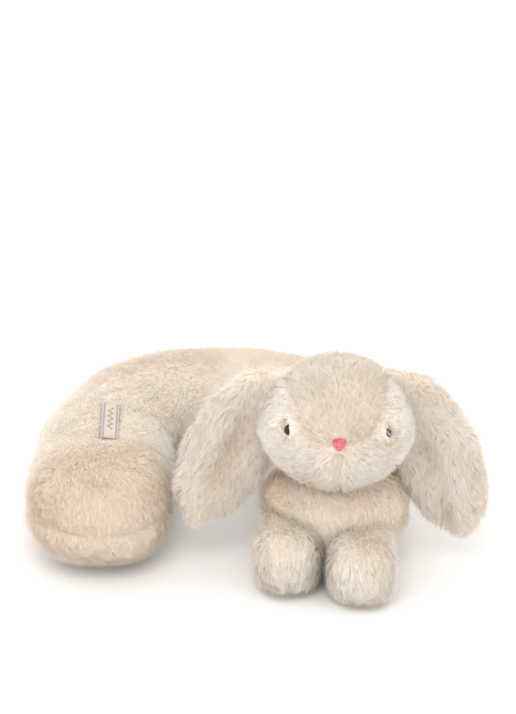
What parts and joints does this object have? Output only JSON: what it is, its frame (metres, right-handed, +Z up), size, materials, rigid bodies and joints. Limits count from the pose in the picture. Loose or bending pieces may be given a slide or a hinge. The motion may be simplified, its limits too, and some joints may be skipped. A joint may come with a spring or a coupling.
{
  "type": "stuffed bunny rabbit",
  "caption": "U-shaped long-pile plush neck pillow lying flat, one arm ending in a lop-eared rabbit's head and forelegs, the other plain and round.",
  "frame": {"origin": "on the floor under the middle of the toy's bounding box", "axes": "+Z up, the rabbit looks along -Y, +X towards the rabbit's own side of the pillow (to the right seen from in front)"},
  "size_m": [0.352, 0.313, 0.171],
  "materials": {
    "fur": "cream long-pile plush",
    "fur_beige": "beige-toned long-pile plush",
    "filling": "polyester fibre filling",
    "eye_gloss": "glossy",
    "washer_plastic": "matte",
    "nose_thread": "satin-stitched thread",
    "label_tape": "woven tape"
  },
  "bodies": {
    "pillow": {"pillow_top_panel": "fur", "pillow_base_panel": "fur", "pillow_filling": "filling"},
    "arm": {"arm_top_panel": "fur", "arm_base_panel": "fur", "arm_filling": "filling", "woven_label": "label_tape"},
    "head": {"crown_gusset": "fur_beige", "face_panel_left": "fur", "face_panel_right": "fur", "head_filling": "filling", "eye_left": "eye_gloss", "eye_right": "eye_gloss", "eye_washer_left": "washer_plastic", "eye_washer_right": "washer_plastic", "nose_embroidery": "nose_thread"},
    "ear_left": {"ear_front_left": "fur", "ear_back_left": "fur"},
    "ear_right": {"ear_front_right": "fur", "ear_back_right": "fur"},
    "leg_left": {"leg_top_left": "fur", "leg_sole_left": "fur", "leg_filling_left": "filling"},
    "leg_right": {"leg_top_right": "fur", "leg_sole_right": "fur", "leg_filling_right": "filling"}
  },
  "joints": [
    {"name": "pillow_opening", "type": "hinge", "parent": "pillow", "child": "arm", "pos_m": [-0.02897, 0.1565, 0.0425], "axis": [0, 0, -1], "range_deg": [0, 15], "stiffness_Nm_per_rad": 1.5},
    {"name": "head_nod", "type": "hinge", "parent": "pillow", "child": "head", "pos_m": [0.05953, -0.0815, 0.072], "axis": [1, 0, 0], "range_deg": [-6, 8], "stiffness_Nm_per_rad": 2},
    {"name": "ear_lift_left", "type": "hinge", "parent": "head", "child": "ear_left", "pos_m": [0.01753, -0.0785, 0.157], "axis": [-0.788, 0.6157, 0], "range_deg": [0, 95]},
    {"name": "ear_lift_right", "type": "hinge", "parent": "head", "child": "ear_right", "pos_m": [0.10153, -0.0785, 0.157], "axis": [-0.788, -0.6157, 0], "range_deg": [0, 95]},
    {"name": "leg_lift_left", "type": "hinge", "parent": "pillow", "child": "leg_left", "pos_m": [0.02403, -0.10225, 0.052], "axis": [-1, 0, 0], "range_deg": [0, 38]},
    {"name": "leg_lift_right", "type": "hinge", "parent": "pillow", "child": "leg_right", "pos_m": [0.07783, -0.10225, 0.052], "axis": [-1, 0, 0], "range_deg": [0, 38]}
  ]
}
